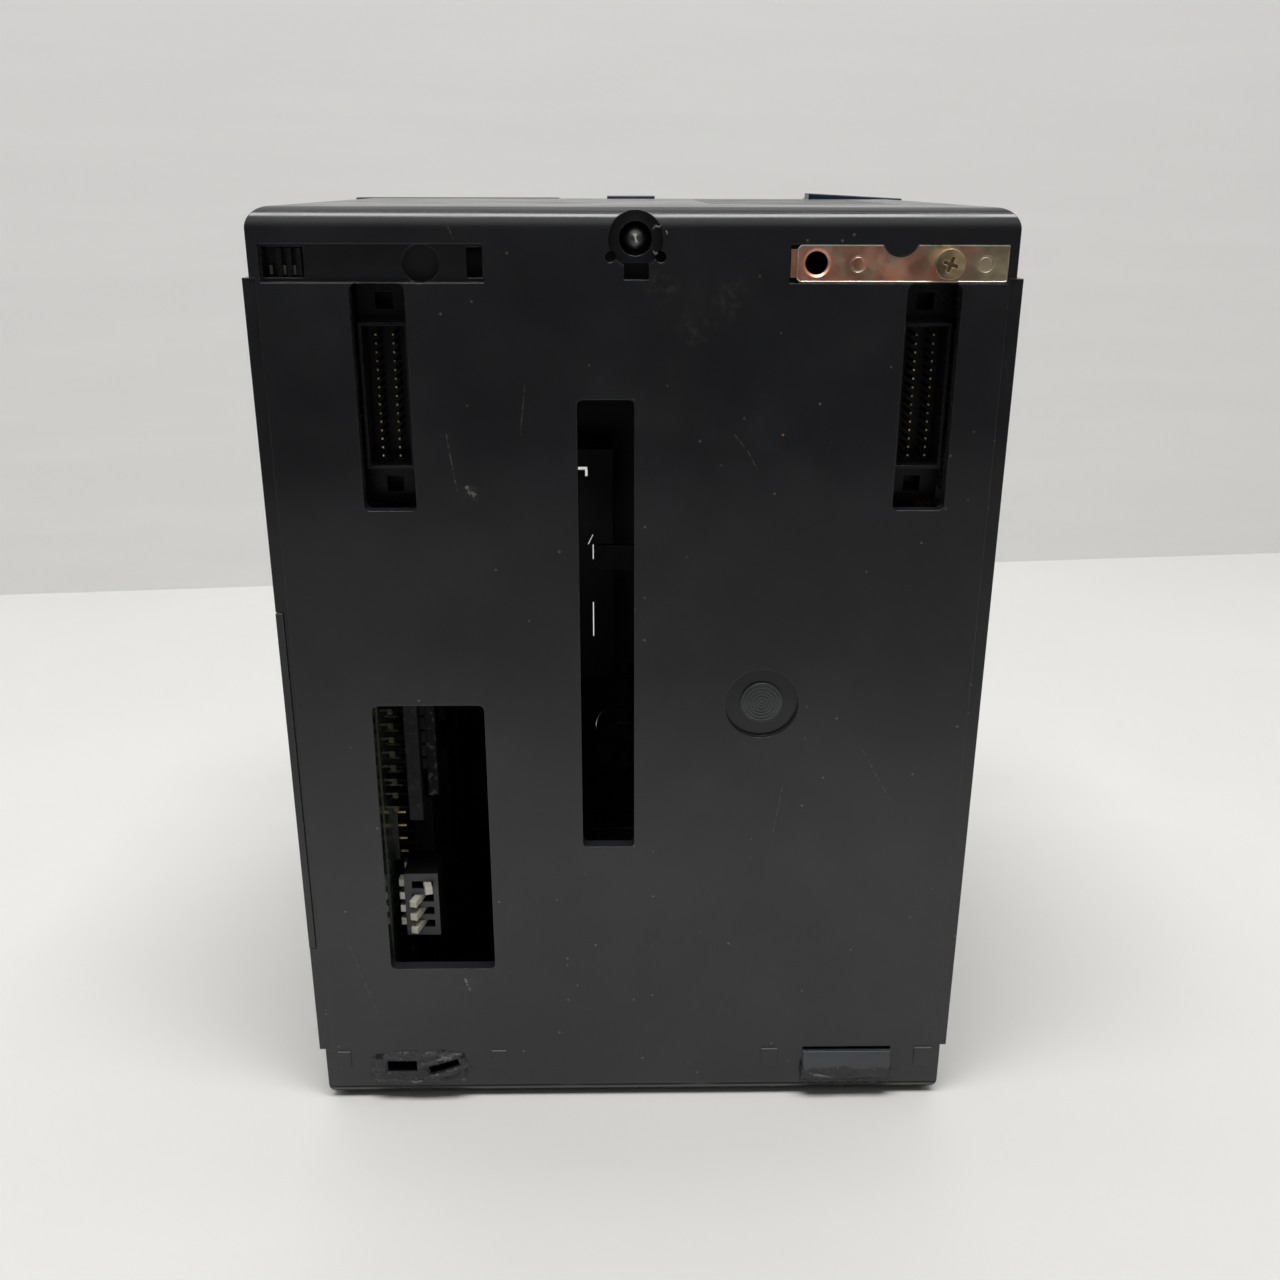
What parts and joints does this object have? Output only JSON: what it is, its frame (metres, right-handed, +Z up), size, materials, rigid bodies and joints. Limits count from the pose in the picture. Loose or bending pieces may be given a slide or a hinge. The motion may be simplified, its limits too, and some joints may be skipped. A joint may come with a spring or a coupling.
{
  "type": "programmable controller module",
  "caption": "Double-width rack module in dark plastic: rear bus connectors, setting switches, earth plate and captive screw; hinged front doors over ports and terminals.",
  "frame": {"origin": "middle of the footprint on the surface the module stands on", "axes": "+X to the right seen from the rear, +Y from the rear face towards the front doors, +Z up"},
  "size_m": [0.11, 0.1062, 0.1511],
  "materials": {
    "case_plastic": "dark charcoal moulded plastic, fine grain, semi-gloss",
    "front_plastic": "dark charcoal moulded plastic, fine grain",
    "door_blue": "dark blue moulded plastic, satin",
    "plate_steel": "zinc-plated sheet, faint warm iridescence",
    "yellow_zinc": "yellow zinc plating",
    "bright_steel": "bright zinc plating",
    "black_plastic": "black glass-filled plastic",
    "gold_plating": "gold-plated contact",
    "board_green": "green solder mask on glass-fibre board",
    "board_tan": "tan paper-phenolic board",
    "switch_grey": "grey moulded plastic",
    "lever_white": "ivory moulded plastic",
    "tinned_lead": "tinned lead",
    "network_coat": "grey epoxy coating",
    "network_coat_light": "light grey speckled epoxy coating",
    "chip_epoxy": "black moulding epoxy",
    "can_metal": "drawn metal can",
    "core_steel": "varnished steel laminations",
    "coil_tape": "yellow insulating tape",
    "capacitor_sleeve": "dark blue heat-shrink sleeve",
    "bare_aluminium": "extruded aluminium",
    "black_oxide": "black oxide steel",
    "shield_coat": "steel sheet, black phosphate coating",
    "fuse_glass": "clear glass tube",
    "led_red": "red diffusing epoxy",
    "smoked_lens": "smoked clear plastic",
    "nickel": "nickel plating",
    "battery_sleeve": "printed-free pale sleeve"
  },
  "bodies": {
    "module": {"rear_case": "case_plastic", "front_case": "front_plastic", "left_side_cover": "front_plastic", "shield_plate": "shield_coat", "case_screws": "yellow_zinc", "ground_plate": "plate_steel", "ground_plate_screw": "yellow_zinc", "contact_block": "black_plastic", "ground_contacts": "gold_plating", "bus_connector_left": "black_plastic", "bus_connector_right": "black_plastic", "bus_pins_left": "gold_plating", "bus_pins_right": "gold_plating", "main_board": "board_green", "setting_switch_body": "switch_grey", "setting_switch_leads": "tinned_lead", "resistor_network_near": "network_coat", "resistor_network_far": "network_coat_light", "resistor_leads": "tinned_lead", "jumper_base": "black_plastic", "jumper_pins": "gold_plating", "processor_chip": "chip_epoxy", "memory_chips": "chip_epoxy", "crystal_can": "can_metal", "power_board": "board_tan", "transformer_core": "core_steel", "transformer_coil": "coil_tape", "filter_capacitors": "capacitor_sleeve", "heat_sink": "bare_aluminium", "power_transistors": "chip_epoxy", "fuse": "fuse_glass", "fuse_clips": "bright_steel", "front_board": "board_green", "indicator_leds": "led_red", "indicator_lens": "smoked_lens", "screw_hood": "door_blue", "key_switch_barrel": "nickel", "cartridge_socket": "black_plastic", "cartridge_contacts": "gold_plating", "service_port": "nickel", "network_port": "nickel", "port_contacts": "black_plastic", "port_jackscrews": "bright_steel", "battery_holder": "black_plastic", "battery": "battery_sleeve", "terminal_block": "black_plastic", "terminal_screws": "bright_steel", "terminal_plates": "bright_steel"},
    "washer_carrier": {"fixing_washer": "bright_steel"},
    "fixing_screw_body": {"fixing_screw": "black_oxide"},
    "lever_1": {"setting_lever_1": "lever_white"},
    "lever_2": {"setting_lever_2": "lever_white"},
    "lever_3": {"setting_lever_3": "lever_white"},
    "lever_4": {"setting_lever_4": "lever_white"},
    "key_rotor": {"key_switch_rotor": "nickel"},
    "port_door_body": {"port_door": "door_blue"},
    "terminal_door_body": {"terminal_door": "door_blue"}
  },
  "joints": [
    {"name": "fixing_screw_advance", "type": "slide", "parent": "module", "child": "washer_carrier", "axis": [0, -1, 0], "range_m": [0, 0.0074]},
    {"name": "fixing_screw_turn", "type": "hinge", "parent": "washer_carrier", "child": "fixing_screw_body", "pos_m": [0.00013, 0.0441, 0.1458], "axis": [0, -1, 0], "continuous": true},
    {"name": "setting_lever_1_throw", "type": "hinge", "parent": "module", "child": "lever_1", "pos_m": [-0.0362, -0.0435, 0.0399], "axis": [0, 0, 1], "range_deg": [-32, 0]},
    {"name": "setting_lever_2_throw", "type": "hinge", "parent": "module", "child": "lever_2", "pos_m": [-0.0362, -0.0435, 0.03736], "axis": [0, 0, 1], "range_deg": [0, 32]},
    {"name": "setting_lever_3_throw", "type": "hinge", "parent": "module", "child": "lever_3", "pos_m": [-0.0362, -0.0435, 0.03482], "axis": [0, 0, 1], "range_deg": [0, 32]},
    {"name": "setting_lever_4_throw", "type": "hinge", "parent": "module", "child": "lever_4", "pos_m": [-0.0362, -0.0435, 0.03228], "axis": [0, 0, 1], "range_deg": [0, 32]},
    {"name": "key_switch_turn", "type": "hinge", "parent": "module", "child": "key_rotor", "pos_m": [-0.0022, 0.0461, 0.027], "axis": [0, 1, 0], "range_deg": [-60, 60]},
    {"name": "port_door_hinge", "type": "hinge", "parent": "module", "child": "port_door_body", "pos_m": [-0.0515, 0.0476, 0.07], "axis": [0, 0, 1], "range_deg": [0, 95]},
    {"name": "terminal_door_hinge", "type": "hinge", "parent": "module", "child": "terminal_door_body", "pos_m": [0.0515, 0.0476, 0.07], "axis": [0, 0, -1], "range_deg": [0, 95]}
  ]
}
